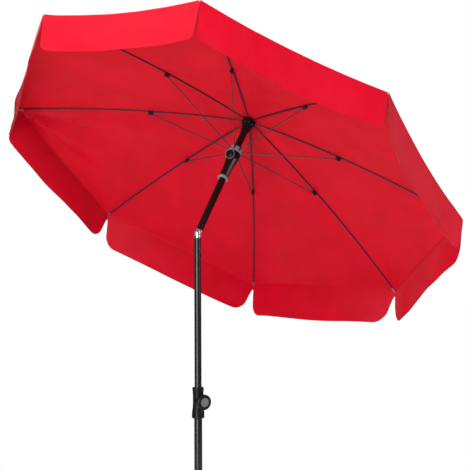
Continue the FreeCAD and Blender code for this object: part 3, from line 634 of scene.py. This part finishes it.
def stitches(name, rows, material, pitch=0.0065, length=0.0042, radius=0.00035):
    """Rows of short raised dashes of thread. Each row is a list of (point, normal)."""
    points, faces = [], []
    for row in rows:
        travelled = 0.0
        for (a, normal), (b, _) in zip(row, row[1:]):
            step = b - a
            while travelled < step.length:
                along = step.normalized()
                across = along.cross(normal).normalized() * radius
                start = a + along * travelled
                rise = normal * radius * 1.6
                base = len(points)
                for where, scale in ((0.0, 0.35), (0.25, 1.0), (0.75, 1.0), (1.0, 0.35)):
                    centre = start + along * (length * where)
                    points += [centre - across * scale, centre + rise * scale, centre + across * scale]
                for q in range(3):
                    near, far = base + 3 * q, base + 3 * q + 3
                    faces += [(near, near + 1, far + 1, far), (near + 1, near + 2, far + 2, far + 1),
                              (near + 2, near, far, far + 2)]
                faces += [(base, base + 2, base + 1), (base + 9, base + 10, base + 11)]
                travelled += pitch
            travelled -= step.length
    return new_mesh_object(name, points, faces, material)


def button_coil():
    """The button's return spring as a real coil on the runner, in place of the imported one."""
    aim = -Vector(JOINTS["runner_button_press"]["axis"]).normalized()
    button = STICK @ Vector((0, 0, 0.400))
    low, high, turns, wire, radius = 0.0191, 0.0266, 4.5, 0.00045, 0.0043
    turn = aim.to_track_quat("Z", "Y").to_matrix().to_4x4()
    place = Matrix.Translation(button) @ turn
    points, faces = [], []
    steps, section = 120, 8
    for i in range(steps + 1):
        t = i / steps
        a = 2 * math.pi * turns * t
        height = low + wire + (high - low - 2 * wire) * t
        for k in range(section):
            b = 2 * math.pi * k / section
            r = radius + wire * math.cos(b)
            points.append(place @ Vector((r * math.cos(a), r * math.sin(a), height + wire * math.sin(b))))
            if i < steps:
                near, far = i * section, (i + 1) * section
                faces.append((near + k, far + k, far + (k + 1) % section, near + (k + 1) % section))
    faces += [tuple(range(section))[::-1], tuple(steps * section + k for k in range(section))]
    mesh = bpy.data.meshes.new("runner_button_coil")
    mesh.from_pydata([tuple(p) for p in points], [], faces)
    mesh.materials.append(ZINC)
    made = bpy.data.objects.new("runner_button_coil", mesh)
    bpy.context.scene.collection.objects.link(made)
    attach(made, "runner")
    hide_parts("runner_button_spring")
    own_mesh(made)


def follow_fold(piece, number):
    """The cloth rides on its rib."""
    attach(piece, "rib_%d" % number)
    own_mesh(piece)


def button_ring():
    """The grey rim round the runner's push button."""
    aim = -Vector(JOINTS["runner_button_press"]["axis"]).normalized()
    centre = STICK @ Vector((0, 0, 0.400)) + aim * 0.0345
    mesh = bpy.data.meshes.new("runner_button_rim")
    made = bpy.data.objects.new("runner_button_rim", mesh)
    points, faces = [], []
    around, section = 64, 12
    for i in range(around):
        a = 2 * math.pi * i / around
        for k in range(section):
            b = 2 * math.pi * k / section
            radius = 0.0188 + 0.0011 * math.cos(b)
            points.append((radius * math.cos(a), radius * math.sin(a), 0.0011 * math.sin(b)))
            near, far = i * section, (i + 1) % around * section
            faces.append((near + k, far + k, far + (k + 1) % section, near + (k + 1) % section))
    turn = aim.to_track_quat("Z", "Y").to_matrix().to_4x4()
    mesh.from_pydata([tuple(Matrix.Translation(centre) @ turn @ Vector(p)) for p in points], [], faces)
    mesh.materials.append(RING_PLASTIC)
    for polygon in mesh.polygons:
        polygon.use_smooth = True
    bpy.context.scene.collection.objects.link(made)
    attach(made, "runner")


def main_build():
    make_camera()
    finish_cad_nodes()
    button_ring()
    button_coil()
    for rib in range(RIB_COUNT):
        number = rib + 1
        panel = cloth_panel(rib)
        thread = stitches("canopy_stitching_%d" % number, seam_rows(rib), THREAD)
        for piece in (panel, thread):
            follow_fold(piece, number)
        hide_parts("canopy_panel_%d" % number)


# ---------------------------------------------------------------- floor and lights
def floor():
    radius = 3.0
    mesh = bpy.data.meshes.new("floor")
    turns = [2 * math.pi * i / 96 for i in range(96)]
    ring = [(radius * math.cos(turn), radius * math.sin(turn), 0) for turn in turns]
    mesh.from_pydata(ring, [], [tuple(range(96))])
    made = bpy.data.objects.new("floor", mesh)
    s = Shader("pale_floor", (0.80, 0.80, 0.80), 0.9, specular=0.1)
    s.roughness_from(s.noise(2.0), 0.85, 0.95)
    s.surface.inputs["Emission Color"].default_value = (1, 1, 1, 1)
    s.surface.inputs["Emission Strength"].default_value = 0.16
    mesh.materials.append(s.material)
    bpy.context.scene.collection.objects.link(made)


def softbox(name, place, aim, size_m, watts):
    data = bpy.data.lights.new(name, "AREA")
    data.shape = "RECTANGLE"
    data.size, data.size_y = size_m
    data.energy = watts
    lamp = bpy.data.objects.new(name, data)
    turn = (aim - place).to_track_quat("-Z", "Y").to_matrix().to_4x4()
    lamp.matrix_world = Matrix.Translation(place) @ turn
    bpy.context.scene.collection.objects.link(lamp)


def studio():
    """A white room that shiny surfaces mirror as dim, lit by one tall softbox on the left and one above."""
    world = bpy.data.worlds.new("studio")
    bpy.context.scene.world = world
    world.use_nodes = True
    tree = world.node_tree

    def backdrop(colour, strength):
        made = tree.nodes.new("ShaderNodeBackground")
        made.inputs["Color"].default_value = (*colour, 1)
        made.inputs["Strength"].default_value = strength
        return made.outputs[0]

    def choose(ray, otherwise, wanted):
        mixed = tree.nodes.new("ShaderNodeMixShader")
        tree.links.new(path.outputs[ray], mixed.inputs["Fac"])
        tree.links.new(otherwise, mixed.inputs[1])
        tree.links.new(wanted, mixed.inputs[2])
        return mixed.outputs[0]

    path = tree.nodes.new("ShaderNodeLightPath")
    lit = choose("Is Glossy Ray", backdrop((0.95, 0.97, 1.0), 0.42), backdrop((0.9, 0.95, 1.0), 0.10))
    seen = choose("Is Camera Ray", lit, backdrop((1, 1, 1), 1.0))
    tree.links.new(seen, tree.nodes["World Output"].inputs["Surface"])
    centre = KNEE + Vector((0.2, 0, 0.1))
    to_camera = -Vector((LOOK.x, LOOK.y, 0)).normalized()
    from_left = Matrix.Rotation(math.radians(-26), 4, "Z") @ to_camera
    softbox("left_softbox", KNEE + from_left * 5.6 + UP * 0.2, KNEE, (2.6, 4.2), 300)
    softbox("sky_softbox", Vector((-1.5, 0.5, 5.2)), centre, (4.0, 4.0), 225)
    softbox("right_softbox", KNEE + Vector((1.6, -4.6, 0.9)), centre, (2.0, 2.0), 130)
    bpy.context.scene.view_settings.view_transform = "Standard"


main_build()
floor()
studio()
